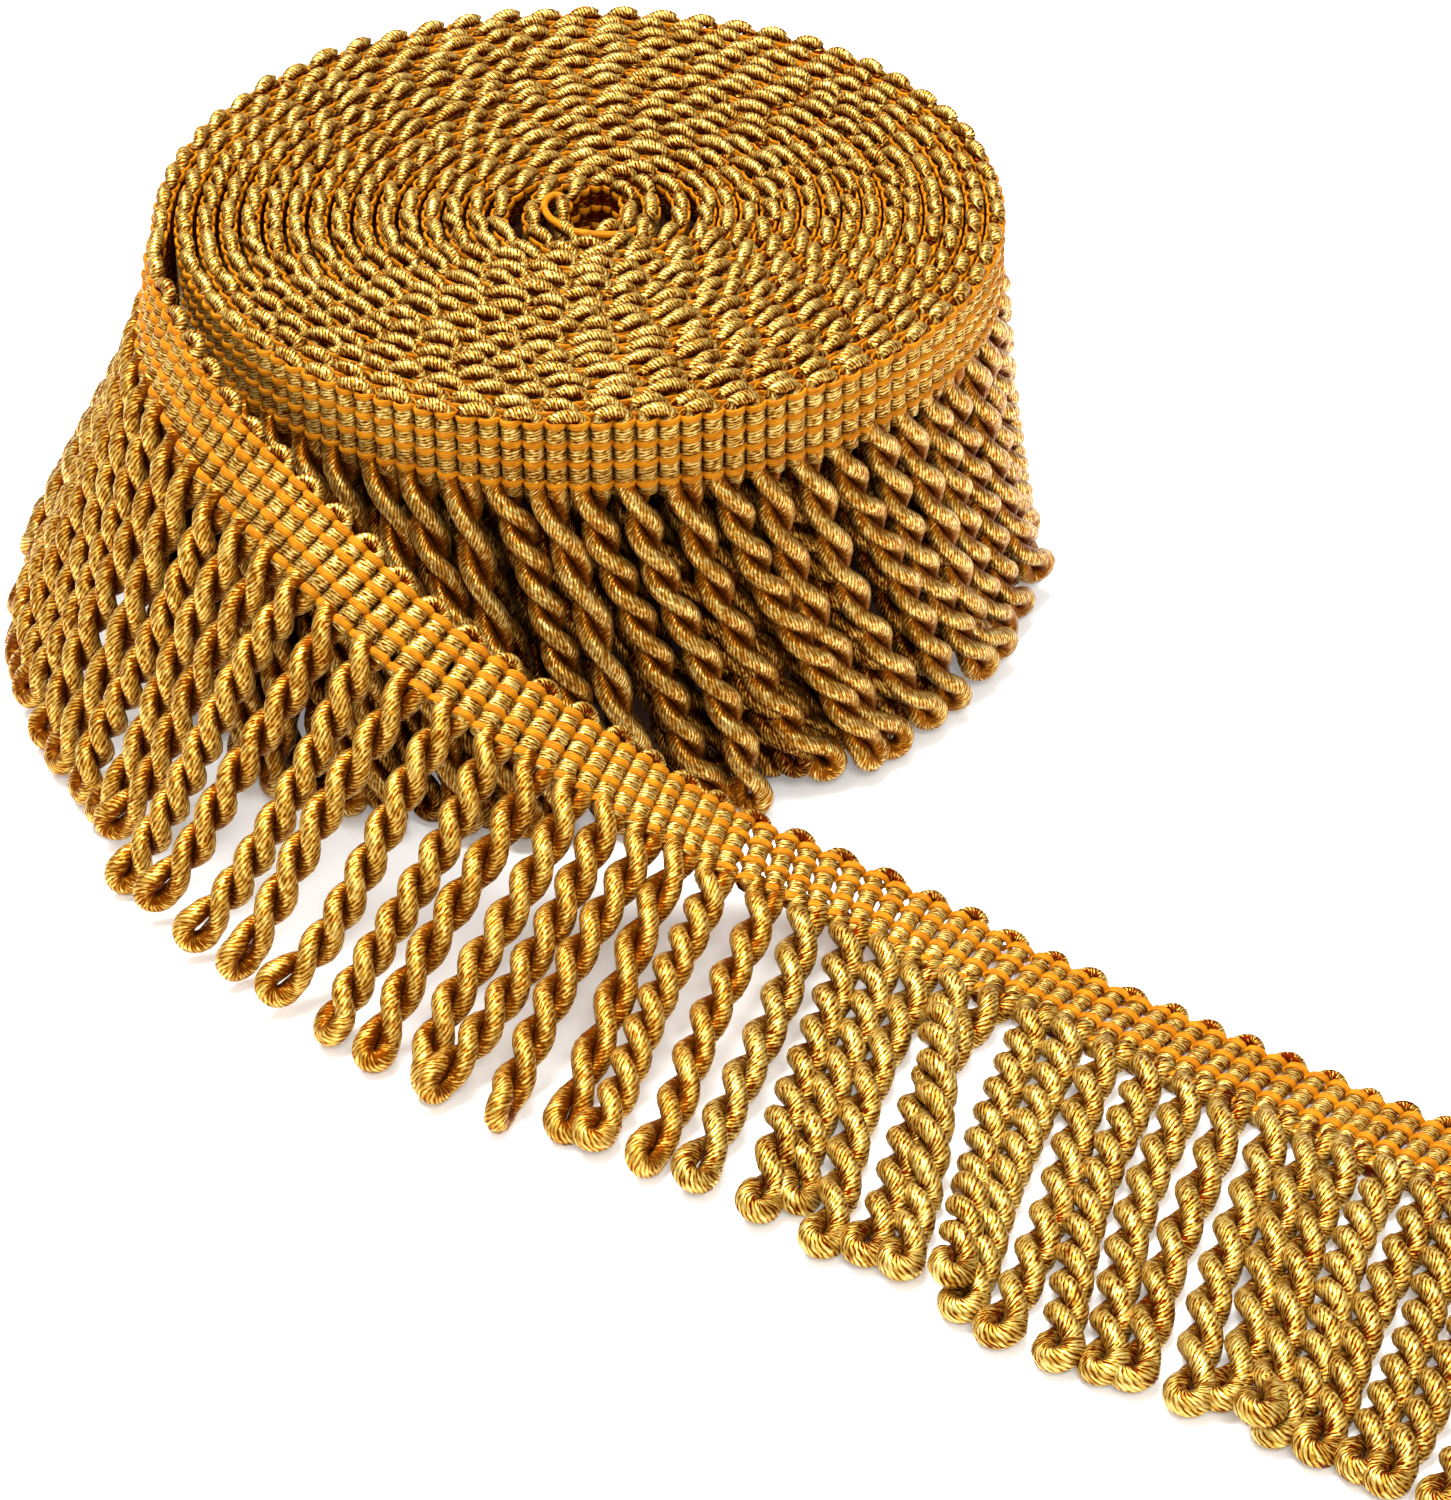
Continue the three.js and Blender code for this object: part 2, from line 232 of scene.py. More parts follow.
LOOSE_STRAND_FIT = [
    (9, 0, 0, 0, 0),
    (10, 0, 2, 1.5, 0),
    (11, 0, 5.5, 0, 0),
    (12, 0, 5, 0, 0),
    (13, 0, 3.5, -0.5, 0),
    (14, 0, 1.5, -1, 0),
    (15, 0, 2.5, -0.5, 0),
    (16, 0, 0, 0, 0),
    (17, 0, 0, 0, 0),
    (18, -0.1, -5, 0, 0),
    (19, -0.25, -4, -0.5, 0),
    (20, -0.35, -4.5, -2.5, 0),
    (21, -0.5, -5, -2.5, 0),
    (22, -0.4, -3, -1, 0),
    (23, -0.35, -1.5, -0.5, 0),
    (24, -0.2, 2, 1.5, 0),
    (25, 0, -1, -2, 0),
    (26, 0, -0.5, 2.5, 0),
    (27, 0, 5.5, 2.5, 0.5),
    (28, 0.2, -6.5, -0.5, -2),
    (29, 0.1, -0.5, 1, 0.5),
    (30, 0.15, -2, 1.5, 0),
    (31, 0.3, -3, 2, 0),
    (32, 0.2, -2.5, 2, 0),
    (34, 0.15, -3, 0, 0),
    (35, 0.2, -2.5, 0.5, 0),
    (36, 0.2, -4, -2, 0),
    (37, 0, -5, 0.5, 0),
    (38, 0, -7, -1, 0),
    (40, -0.2, -8, -1.5, 0),
    (42, -0.2, -9.5, -2, 0),
]
HANGING_STRANDS = 23
ROOT_PULL = 0.14
END_PULL = 0.14
print(len(LOOSE_END), "places along the loose end,", len(LOOSE_STRAND_FIT), "strands in the fit")

# %% [markdown]
# ## Small helpers
# Yarn is never even. `uneven` gives the same scatter from -1 to 1 on every run without a random generator, so
# each strand keeps its own lean and tone. `table` turns rows of numbers into named columns.

# %% Helpers for vectors and unevenness
SCATTER_STEP = 12.9898
SCATTER_SALT = 78.233
SCATTER_SIZE = 43758.5453


def uneven(index, salt):
    value = np.sin(np.asarray(index) * SCATTER_STEP + salt * SCATTER_SALT) * SCATTER_SIZE
    return 2 * (value - np.floor(value)) - 1


def unit(vectors):
    return vectors / np.linalg.norm(vectors, axis=-1, keepdims=True)


def dot(a, b):
    return (a * b).sum(axis=-1, keepdims=True)


def on_circle(degrees):
    turn = np.radians(degrees)
    return np.stack([np.cos(turn), np.sin(turn), np.zeros_like(turn)], axis=-1)


def table(rows, names):
    return {name: np.array([row[k] for row in rows], dtype=float) for k, name in enumerate(names)}


print("scatter of three strands", np.round(uneven(np.arange(3), 1), 2))

# %% [markdown]
# ## Where the heading runs
# In the roll the heading stands upright on a spiral. In the loose end it follows a smooth curve through the
# table's points and leans over until it lies flat. Both give the same four things for any place along the
# trim: the top edge, the direction along the band, the direction down across it, and the way its face looks.
# Where the band lies slack it is a little wider, so there the step down across it is longer.

# %% Heading in the roll


def spiral(along):
    """Frames of the wound heading, counted in metres from its inner end."""
    along = np.asarray(along, dtype=float)
    radius = np.sqrt(INNER_RADIUS**2 + TURN_PITCH * along / math.pi)
    angle = LEAVING_ANGLE - 360 * (OUTER_RADIUS - radius) / TURN_PITCH
    face = on_circle(angle)
    edge = radius[..., None] * face + (1 - radius[..., None] / OUTER_RADIUS) * EYE_SHIFT
    edge = edge + ROLL_HEIGHT * UP
    pressed = np.clip((EYE_SQUEEZED - along) / EYE_FADE, 0, 1) ** 2
    edge[..., 0] -= EYE_SQUEEZE * pressed * (edge[..., 0] - EYE_MIDDLE)
    edge[..., 1] += EYE_STRETCH * pressed * (edge[..., 1] - EYE_FRONT)
    return {
        "edge": edge,
        "along": np.cross(UP, face),
        "down": np.broadcast_to(-UP, face.shape),
        "face": face,
        "angle": angle,
    }


def along_at_angle(degrees):
    radius = OUTER_RADIUS - TURN_PITCH * (LEAVING_ANGLE - degrees) / 360
    return math.pi * (radius**2 - INNER_RADIUS**2) / TURN_PITCH


print("last turn is", round(1000 * (ROLL_LENGTH - along_at_angle(LEAVING_ANGLE - 360))), "mm long")

# %% Line of the loose end
LOOSE_SAMPLES = 60


def centripetal(points, samples):
    """A smooth curve through the points, and for each of its places the row of the table it belongs to."""
    first = 2 * points[0] - points[1]
    last = 2 * points[-1] - points[-2]
    p = np.vstack([first, points, last])
    knots = np.concatenate([[0], np.cumsum(np.sqrt(np.linalg.norm(np.diff(p, axis=0), axis=1)))])
    line, rows = [], []
    for k in range(1, len(p) - 2):
        t0, t1, t2, t3 = knots[k - 1 : k + 3]
        share = np.linspace(0, 1, samples, endpoint=False)[:, None]
        t = t1 + share * (t2 - t1)
        a1 = (t1 - t) / (t1 - t0) * p[k - 1] + (t - t0) / (t1 - t0) * p[k]
        a2 = (t2 - t) / (t2 - t1) * p[k] + (t - t1) / (t2 - t1) * p[k + 1]
        a3 = (t3 - t) / (t3 - t2) * p[k + 1] + (t - t2) / (t3 - t2) * p[k + 2]
        b1 = (t2 - t) / (t2 - t0) * a1 + (t - t0) / (t2 - t0) * a2
        b2 = (t3 - t) / (t3 - t1) * a2 + (t - t1) / (t3 - t1) * a3
        line.append((t2 - t) / (t2 - t1) * b1 + (t - t1) / (t2 - t1) * b2)
        rows.append(k - 1 + share[:, 0])
    return np.vstack(line + [points[-1:]]), np.append(np.concatenate(rows), len(points) - 1)


loose_table = table(LOOSE_END, LOOSE_COLUMNS)
loose_points = np.stack([loose_table["x"], loose_table["y"], loose_table["z"]], axis=1) * MM
loose_line, loose_rows = centripetal(loose_points, LOOSE_SAMPLES)
loose_run = np.concatenate([[0], np.cumsum(np.linalg.norm(np.diff(loose_line, axis=0), axis=1))])
LOOSE_LENGTH = loose_run[-1]
LOOSE_STRANDS = int(LOOSE_LENGTH / STRAND_PITCH)
print("loose end", round(LOOSE_LENGTH * 1000), "mm with", LOOSE_STRANDS, "strands")

# %% [markdown]
# The loose end starts a little beside the last turn of the roll. The real band has no gap there, so a place
# before the start lies on a short slanting bend that leads back to the roll.

# %% Heading in the loose end
JOIN_STRETCH = 1.9
JOIN_SLOPE = 0.48

strand_fit = table(LOOSE_STRAND_FIT, STRAND_COLUMNS)


def loose_value(column, along):
    rows = np.interp(along, loose_run, loose_rows)
    return np.interp(rows, np.arange(len(LOOSE_END)), loose_table[column])


def loose(along):
    """Frames along the loose end. A place before its start lies on the bend that joins it to the roll."""
    along = np.asarray(along, dtype=float)
    edge = np.stack([np.interp(along, loose_run, loose_line[:, k]) for k in range(3)], axis=-1)
    directions = unit(np.gradient(loose_line, loose_run, axis=0))
    ahead = np.stack([np.interp(along, loose_run, directions[:, k]) for k in range(3)], axis=-1)
    ahead = unit(ahead)
    outward = unit(np.cross(ahead, UP))
    upright = np.cross(outward, ahead)
    before = JOIN_STRETCH * np.minimum(along, 0)[..., None]
    edge = edge + before * (ahead + JOIN_SLOPE * outward)
    lean = np.radians(loose_value("lean", along))[..., None]
    down = outward * np.sin(lean) - upright * np.cos(lean)
    face = np.cross(down, ahead)
    spread = loose_value("wide", along)[..., None] * MM / HEADING_WIDTH
    return {"edge": edge, "along": ahead, "down": spread * down, "face": face}


def fitted(column, number):
    return np.interp(number, strand_fit["strand"], strand_fit[column])


def loose_uneven(along):
    """The loose band with its cords as unevenly spaced as they lie."""
    pitch = LOOSE_LENGTH / LOOSE_STRANDS
    return loose(along + pitch * fitted("shift", np.asarray(along) / pitch - 0.5))


print("loose band starts at", np.round(loose_line[0] * 1000, 1), "mm")

# %% [markdown]
# ## Tubes from arrays
# Cords and yarns are all tubes. Making each as a curve object would be slow with thousands of them, so whole
# families of tubes are worked out as one array and joined into one mesh. Each tube carries a map: once round
# it across the map, and one step up the map for each wrap of the metal thread, so the finish can draw the
# wraps. It also carries a tone, which makes one cord a little lighter than the next.

# %% Tube builder
WRAP_PITCH = 0.36 * MM


def tubes(lines, facing, wide, deep, sides, tone=0.0, boxy=1.0):
    """lines: (tubes, points, 3). wide is the half size along facing, deep the half size across it.
    boxy below 1 turns the oval section into a rounded box."""
    lines = np.asarray(lines, dtype=float)
    count, steps, _ = lines.shape
    ahead = unit(np.gradient(lines, axis=1))
    first = unit(facing - ahead * dot(facing, ahead))
    second = np.cross(ahead, first)
    wide = np.broadcast_to(np.asarray(wide, dtype=float), (count, steps))[:, :, None, None]
    deep = np.broadcast_to(np.asarray(deep, dtype=float), (count, steps))[:, :, None, None]
    turn = np.linspace(0, 2 * math.pi, sides, endpoint=False)[:, None]
    cos, sin = (np.sign(v) * np.abs(v) ** boxy for v in (np.cos(turn), np.sin(turn)))
    ring = wide * cos * first[:, :, None] + deep * sin * second[:, :, None]
    points = (lines[:, :, None] + ring).reshape(-1, 3)

    start = (np.arange(count)[:, None, None] * steps + np.arange(steps - 1)[:, None]) * sides
    here = np.arange(sides)
    after = (here + 1) % sides
    quads = np.stack([start + here, start + after, start + after + sides, start + here + sides], axis=-1)
    length = np.concatenate(
        [np.zeros((count, 1)), np.cumsum(np.linalg.norm(np.diff(lines, axis=1), axis=2), axis=1)], axis=1
    )
    low = np.broadcast_to((length[:, :-1] / WRAP_PITCH)[:, :, None], (count, steps - 1, sides))
    high = np.broadcast_to((length[:, 1:] / WRAP_PITCH)[:, :, None], (count, steps - 1, sides))
    left = np.broadcast_to(here / sides, low.shape)
    right = left + 1 / sides
    quad_map = np.stack([left, low, right, low, right, high, left, high], axis=-1).reshape(-1, 4, 2)

    base = np.arange(count)[:, None] * steps * sides
    caps = np.concatenate([base + here[::-1], base + (steps - 1) * sides + here])
    tones = np.repeat(np.broadcast_to(np.asarray(tone, dtype=float), (count,)), steps * sides)
    return {"points": points, "quads": quads.reshape(-1, 4), "map": quad_map, "caps": caps, "tone": tones}


print("wrap lines every", WRAP_PITCH * 1000, "mm")

# %% [markdown]
# A piece is one mesh made of several families of tubes. It is filled straight from the arrays, which is
# much faster than adding faces one by one. Points that would sink into the table are lifted onto it.

# %% Joining tubes into one piece


def make_piece(name, families, finish, stands_for=()):
    points = np.vstack([f["points"] for f in families])
    points[:, 2] = np.maximum(points[:, 2], 0)
    tone = np.concatenate([f["tone"] for f in families])
    offsets = np.cumsum([0] + [len(f["points"]) for f in families[:-1]])
    corners, totals, cord_map = [], [], []
    for family, offset in zip(families, offsets):
        corners += [(family["quads"] + offset).ravel(), (family["caps"] + offset).ravel()]
        sides = family["caps"].shape[1]
        totals += [np.full(len(family["quads"]), 4), np.full(len(family["caps"]), sides)]
        cord_map += [family["map"].reshape(-1, 2), np.full((family["caps"].size, 2), 0.5)]
    corners, totals = np.concatenate(corners), np.concatenate(totals)
    mesh = bpy.data.meshes.new(name)
    mesh.vertices.add(len(points))
    mesh.vertices.foreach_set("co", points.astype(np.float32).ravel())
    mesh.loops.add(len(corners))
    mesh.loops.foreach_set("vertex_index", corners.astype(np.int32))
    mesh.polygons.add(len(totals))
    mesh.polygons.foreach_set("loop_start", np.concatenate([[0], np.cumsum(totals)[:-1]]).astype(np.int32))
    mesh.polygons.foreach_set("loop_total", totals.astype(np.int32))
    mesh.update(calc_edges=True)
    mesh.polygons.foreach_set("use_smooth", np.ones(len(totals), dtype=bool))
    mesh.uv_layers.new(name="wraps").data.foreach_set(
        "uv", np.concatenate(cord_map).astype(np.float32).ravel()
    )
    mesh.attributes.new("tone", "FLOAT", "POINT").data.foreach_set("value", tone.astype(np.float32))
    mesh.materials.append(finish)
    piece = bpy.data.objects.new(name, mesh)
    bpy.context.collection.objects.link(piece)
    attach(piece, "root")
    if stands_for:
        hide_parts(*stands_for)
    print(name, "triangles", int((totals - 2).sum()))
    return piece


# %% [markdown]
# ## Finish of the gold cord
# The cord is a core wrapped in flat metal thread: fine slanting lines, each with a crest and a seam. The
# lines come from the map that the tubes carry and give the cord a fine relief. Their colour holds painted
# light as
# well: a painted highlight on each crest, painted shade in each seam, and painted glints where a thread would
# catch the light. Noise stretched along the wraps breaks the painted glints into short pieces, because real
# wraps are never regular. The side of a tube that turns to its neighbour gets painted shade, standing for the
# light that the folds between cords swallow. One recipe makes five golds: for the heading, and for strands
# that lie, slope, hang or stand hidden. All but that of the lying strands are painted deeper and redder, as
# painted shade, because less light reaches them.

# %% Helpers for finishes


def new_finish(name):
    finish = bpy.data.materials.new(name)
    finish.use_nodes = True
    return finish, finish.node_tree, finish.node_tree.nodes["Principled BSDF"]


def calc(tree, operation, *values):
    node = tree.nodes.new("ShaderNodeMath")
    node.operation = operation
    for socket, value in zip(node.inputs, values):
        if isinstance(value, (int, float)):
            socket.default_value = value
        else:
            tree.links.new(value, socket)
    return node.outputs[0]


def noise(tree, vector, scale, detail=2):
    node = tree.nodes.new("ShaderNodeTexNoise")
    node.inputs["Scale"].default_value = scale
    node.inputs["Detail"].default_value = detail
    tree.links.new(vector, node.inputs["Vector"])
    return node.outputs["Fac"]


def colour_steps(tree, factor, steps):
    ramp = tree.nodes.new("ShaderNodeValToRGB")
    while len(ramp.color_ramp.elements) < len(steps):
        ramp.color_ramp.elements.new(0.5)
    for element, (place, colour) in zip(ramp.color_ramp.elements, steps):
        element.position = place
        element.color = (*colour, 1)
    tree.links.new(factor, ramp.inputs["Fac"])
    return ramp.outputs["Color"]


def tube_map(tree):
    """Place round the tube, from 0 to 1, and along it, in wraps."""
    wraps = tree.nodes.new("ShaderNodeUVMap")
    wraps.uv_map = "wraps"
    parts = tree.nodes.new("ShaderNodeSeparateXYZ")
    tree.links.new(wraps.outputs["UV"], parts.inputs[0])
    return parts.outputs["X"], parts.outputs["Y"]


def joined(tree, x, y, z):
    node = tree.nodes.new("ShaderNodeCombineXYZ")
    for socket, value in zip(node.inputs, (x, y, z)):
        tree.links.new(value, socket)
    return node.outputs[0]


def relief(tree, shader, height, depth, strength):
    bump = tree.nodes.new("ShaderNodeBump")
    bump.inputs["Strength"].default_value = strength
    bump.inputs["Distance"].default_value = depth
    tree.links.new(height, bump.inputs["Height"])
    tree.links.new(bump.outputs["Normal"], shader.inputs["Normal"])


# %% Recipe for gold cord
# Painted light in the gold's colour: the seam colour is painted shade between the wraps, and the crest colour
# is a painted highlight on the crests and glints.
GOLD_SEAM_SHADE = (0.1, 0.008, 0.0002)
GOLD_BODY = (0.47, 0.265, 0.028)
GOLD_CREST_HIGHLIGHT = (0.76, 0.6, 0.21)
GOLD_STEPS = (0.2, 0.52, 0.92)
GOLD_METALLIC = 0.85
WRAP_NOISE = 700
WRAP_WANDER = 1.2
THREAD_STEEPNESS = 3.0
THREAD_SHARE = 0.5
GLINTS_ROUND = 10.0
GLINT_GAIN = 1.6
GLINT_LEVEL = -0.6
GLINT_APART = 50.0
CREST_POLISH = -0.2
FOLD_SHADE_START = 0.35
FOLD_SHADE_MOST = 0.3
TONE_SHARE = 0.05
WRAP_RELIEF = 0.07 * MM
WRAP_STRENGTH = 0.8


def make_gold(name, slant, fold_shade, seam=GOLD_SEAM_SHADE, body=GOLD_BODY, crest=GOLD_CREST_HIGHLIGHT, rough=0.6):
    """slant leans the wraps, fold paints shade on the sides that turn to the next cord."""
    finish, tree, shader = new_finish(name)
    around, along = tube_map(tree)
    tone_read = tree.nodes.new("ShaderNodeAttribute")
    tone_read.attribute_name = "tone"
    tone = tone_read.outputs["Fac"]
    place = tree.nodes.new("ShaderNodeTexCoord").outputs["Object"]
    wrap = calc(tree, "MULTIPLY_ADD", around, slant, along)
    wrap = calc(tree, "MULTIPLY_ADD", noise(tree, place, WRAP_NOISE), WRAP_WANDER, wrap)
    thread = calc(tree, "MULTIPLY", calc(tree, "PINGPONG", wrap, 0.5), THREAD_STEEPNESS)
    thread = calc(tree, "MINIMUM", thread, 1.0)
    streak = calc(tree, "MULTIPLY", around, GLINTS_ROUND)
    apart = calc(tree, "MULTIPLY", tone, GLINT_APART)
    glint = noise(tree, joined(tree, streak, wrap, apart), 1.0, 1)
    glint = calc(tree, "MULTIPLY_ADD", glint, GLINT_GAIN, GLINT_LEVEL)
    # The height shapes the relief of the wraps. Through the colour steps it also paints shade into the seams
    # and painted highlights onto the crests and glints.
    height = calc(tree, "MULTIPLY_ADD", thread, THREAD_SHARE, glint)
    # Painted shade: the sides that turn to the next cord are pushed towards the seam colour.
    fold_shade_mask = calc(tree, "ABSOLUTE", calc(tree, "MULTIPLY_ADD", around, 2.0, -1.0))
    fold_shade_mask = calc(tree, "MAXIMUM", calc(tree, "SUBTRACT", fold_shade_mask, FOLD_SHADE_START), 0.0)
    fold_shade_mask = calc(tree, "MINIMUM", fold_shade_mask, FOLD_SHADE_MOST)
    shade = calc(tree, "MULTIPLY_ADD", tone, TONE_SHARE, height)
    shade = calc(tree, "MULTIPLY_ADD", fold_shade_mask, -fold_shade, shade)
    steps = list(zip(GOLD_STEPS, (seam, body, crest)))
    tree.links.new(colour_steps(tree, shade, steps), shader.inputs["Base Color"])
    tree.links.new(calc(tree, "MULTIPLY_ADD", height, CREST_POLISH, rough), shader.inputs["Roughness"])
    shader.inputs["Metallic"].default_value = GOLD_METALLIC
    shader.inputs["Specular IOR Level"].default_value = 0.0
    relief(tree, shader, height, WRAP_RELIEF, WRAP_STRENGTH)
    return finish


print("gold goes from", GOLD_SEAM_SHADE, "to", GOLD_CREST_HIGHLIGHT)

# %% Five golds
HEADING_SLANT = -4
STRAND_SLANT = -11
# Painted shade: the golds for the heading and for the sloping, hanging and hidden strands are deeper and
# redder copies of the lying strands' gold, for the light that they lack.
HEADING_SHADED_BODY = (0.45, 0.235, 0.024)
SLOPING_SHADED_SEAM = (0.15, 0.03, 0.001)
SLOPING_SHADED_BODY = (0.45, 0.215, 0.018)
SLOPING_SHADED_CREST = (0.75, 0.53, 0.14)
HANGING_SHADED_SEAM = (0.2, 0.05, 0.002)
HANGING_SHADED_BODY = (0.44, 0.195, 0.017)
HANGING_ROUGH = 0.48
INNER_SHADED_SEAM = (0.04, 0.002, 0.0001)
INNER_SHADED_BODY = (0.17, 0.055, 0.003)
INNER_SHADED_CREST = (0.5, 0.3, 0.06)

gold_heading_shaded = make_gold("gold_heading_shaded_cord", HEADING_SLANT, 1.5, body=HEADING_SHADED_BODY)
gold_strand = make_gold("gold_strand_cord", STRAND_SLANT, 0.95)
gold_hanging_shaded = make_gold(
    "gold_hanging_shaded_cord", STRAND_SLANT, 1.5, HANGING_SHADED_SEAM, HANGING_SHADED_BODY, rough=HANGING_ROUGH
)
gold_sloping_shaded = make_gold(
    "gold_sloping_shaded_cord", STRAND_SLANT, 1.6, SLOPING_SHADED_SEAM, SLOPING_SHADED_BODY, SLOPING_SHADED_CREST
)
gold_inner_shaded = make_gold("gold_inner_shaded_cord", STRAND_SLANT, 1.1, INNER_SHADED_SEAM, INNER_SHADED_BODY, INNER_SHADED_CREST)
golds = (gold_heading_shaded, gold_strand, gold_hanging_shaded, gold_sloping_shaded, gold_inner_shaded)
print("gold finishes", [gold.name for gold in golds])

# %% [markdown]
# ## Finish of the warp yarn
# The rows that cross the cords are orange satin yarn: smooth and soft, with fibres along it. It mirrors far
# less than the metal thread, so a matt surface with fine lines along the yarn is enough.

# %% Orange warp
ORANGE_DEEP = (0.34, 0.095, 0.001)
ORANGE_BODY = (0.47, 0.16, 0.003)
ORANGE_LIGHT = (0.6, 0.235, 0.006)
FIBRES_ROUND = 9.0
FIBRE_SLANT = 0.12
FIBRE_SHARE = 0.14
FIBRE_NOISE = 900
FIBRE_RELIEF = 0.05 * MM
FIBRE_STRENGTH = 0.4


def make_orange(name):
    finish, tree, shader = new_finish(name)
    around, along = tube_map(tree)
    place = tree.nodes.new("ShaderNodeTexCoord").outputs["Object"]
    fibre = calc(tree, "MULTIPLY_ADD", along, FIBRE_SLANT, calc(tree, "MULTIPLY", around, FIBRES_ROUND))
    wave = calc(tree, "SINE", calc(tree, "MULTIPLY", fibre, 2 * math.pi))
    height = calc(tree, "MULTIPLY_ADD", wave, FIBRE_SHARE, noise(tree, place, FIBRE_NOISE, 3))
    steps = [(0.25, ORANGE_DEEP), (0.5, ORANGE_BODY), (0.75, ORANGE_LIGHT)]
    tree.links.new(colour_steps(tree, height, steps), shader.inputs["Base Color"])
    shader.inputs["Roughness"].default_value = 0.6
    shader.inputs["Specular IOR Level"].default_value = 0.08
    relief(tree, shader, height, FIBRE_RELIEF, FIBRE_STRENGTH)
    return finish


orange_warp = make_orange("orange_warp")
print("warp finish", orange_warp.name)

# %% [markdown]
# ## The heading's cords
# One gold cord runs up a column, over the top edge as a loop, down the next column and into a strand. Along
# the top edge the loops lie like shingles: each starts high, over the end of the one before it, and dives
# under the start of the next. That makes the rope-like turns on top of the roll. A loop with its two legs is
# one tube, bent in the band's own directions. Three tables give its shape: for the roll's outer wall, for
# the turns that press against each other, and for the slack loose end: `across` from the first leg to the
# second, in cords, and `drop` below the top edge and `out` of the face, in millimetres.

# %% Shapes of a loop
LOOP_COLUMNS = ("across", "drop", "out")
WALL_LOOP = [
    (0.0, 2.6, 0.0),
    (-0.12, 1.9, 0.05),
    (-0.22, 1.4, 0.12),
    (-0.16, 1.02, 0.15),
    (0.08, 0.85, 0.14),
    (0.4, 0.8, 0.06),
    (0.7, 0.88, -0.05),
    (0.98, 1.1, -0.13),
    (1.14, 1.45, -0.14),
    (1.12, 1.95, -0.08),
    (1.0, 2.6, 0.0),
]
PRESSED_LOOP = [
    (0.0, 2.6, 0.0),
    (-0.14, 2.0, 0.1),
    (-0.34, 1.58, 0.28),
    (-0.3, 1.2, 0.34),
    (-0.02, 0.86, 0.26),
    (0.34, 0.66, 0.1),
    (0.7, 0.7, -0.06),
    (1.06, 0.98, -0.26),
    (1.31, 1.4, -0.34),
    (1.24, 1.95, -0.16),
    (1.0, 2.6, 0.0),
]
SLACK_LOOP = [
    (0.0, 2.6, 0.0),
    (-0.08, 1.95, 0.0),
    (-0.03, 1.45, 0.05),
    (0.12, 1.05, 0.08),
    (0.34, 0.82, 0.08),
    (0.55, 0.77, 0.0),
    (0.76, 0.9, -0.06),
    (0.96, 1.22, -0.08),
    (1.06, 1.65, -0.08),
    (1.05, 2.1, -0.05),
    (1.0, 2.6, 0.0),
]
print("a loop bends at", len(PRESSED_LOOP), "places")

# %% Cord loops and columns
COLUMN_WIDE = 1.12 * MM
COLUMN_DEEP = 1.0 * MM
LOOP_RADIUS = 0.8 * MM
LOOP_CREST = 1.5 * MM
LOOP_TAPER = 0.16
LOOP_SCATTER = 0.24 * MM
WANDER_WAVES = [(11 * MM, 1.0), (3.7 * MM, 0.45)]


def cord_loops(frames, leg_depth, wide=COLUMN_WIDE, deep=COLUMN_DEEP, sides=7, bend=PRESSED_LOOP, salt=5):
    """frames hold two columns for each loop: shape (loops, 2, 3)."""
    edge, down, face = (frames[k][:, :, None] for k in ("edge", "down", "face"))
    loop = np.arange(edge.shape[0])
    shape = table(bend, LOOP_COLUMNS)
    spring = shape["drop"][0] * MM
    leg = np.array([leg_depth, (leg_depth + spring) / 2])
    across = np.concatenate([0 * leg, shape["across"], 1 + 0 * leg])[None, :, None]
    drop = np.concatenate([leg, shape["drop"] * MM, leg[::-1]])[None, :, None]
    crest = np.clip((spring - drop[0, :, 0]) / LOOP_CREST, 0, 1)
    drop = drop + LOOP_SCATTER * uneven(loop, salt)[:, None, None]
    out = np.concatenate([0 * leg, shape["out"] * MM, 0 * leg]) * (1 + uneven(loop, salt + 2)[:, None])
    out = (out + LOOP_SCATTER * uneven(loop, salt + 3)[:, None] * crest)[..., None]

    def blend(pair):
        return (1 - across) * pair[:, 0] + across * pair[:, 1]

    lines = blend(edge) + drop * blend(down) + out * blend(face)
    taper = 1 - LOOP_TAPER * crest * (2 * across[0, :, 0] - 1) ** 2
    radial = (deep + (LOOP_RADIUS - deep) * crest) * taper
    sideways = (np.asarray(wide)[..., None] * (1 - crest) + LOOP_RADIUS * crest) * taper
    turn = crest[None, :, None]
    inward = unit(turn * blend(down) - (1 - turn) * blend(face))
    return tubes(lines, inward, radial, sideways, sides, uneven(loop, salt + 1))


def columns(frame_at, first, last, wander=0.0):
    """Frames of the column pairs that share a loop, from one cord number to another. wander moves them to
    and fro along the band, so that the loops of neighbouring turns don't line up."""
    numbers = np.arange(first, last - 1, 2)
    places = (np.stack([numbers, numbers + 1], axis=1) + 0.5) * CORD_PITCH
    places = places + wander * sum(share * np.sin(places / wave) for wave, share in WANDER_WAVES)
    return frame_at(places)


print("a loop is", 2 * LOOP_RADIUS / MM, "mm thick")

# %% [markdown]
# Only the eye and the outer turns show their columns, so only there are the legs of the loops full length.
# The turns between show little but their loops.

# %% Cords of the roll
TURNS = (OUTER_RADIUS - INNER_RADIUS) / TURN_PITCH
ROLL_CORDS = int(ROLL_LENGTH / CORD_PITCH)
WALL_TURNS = 0.98
FULL_TURNS = 2
EYE_TURNS = 1.3
FULL_LEG = HEADING_WIDTH + MM
SHORT_LEG = 5.0 * MM
LOOP_WANDER = 1.5 * MM


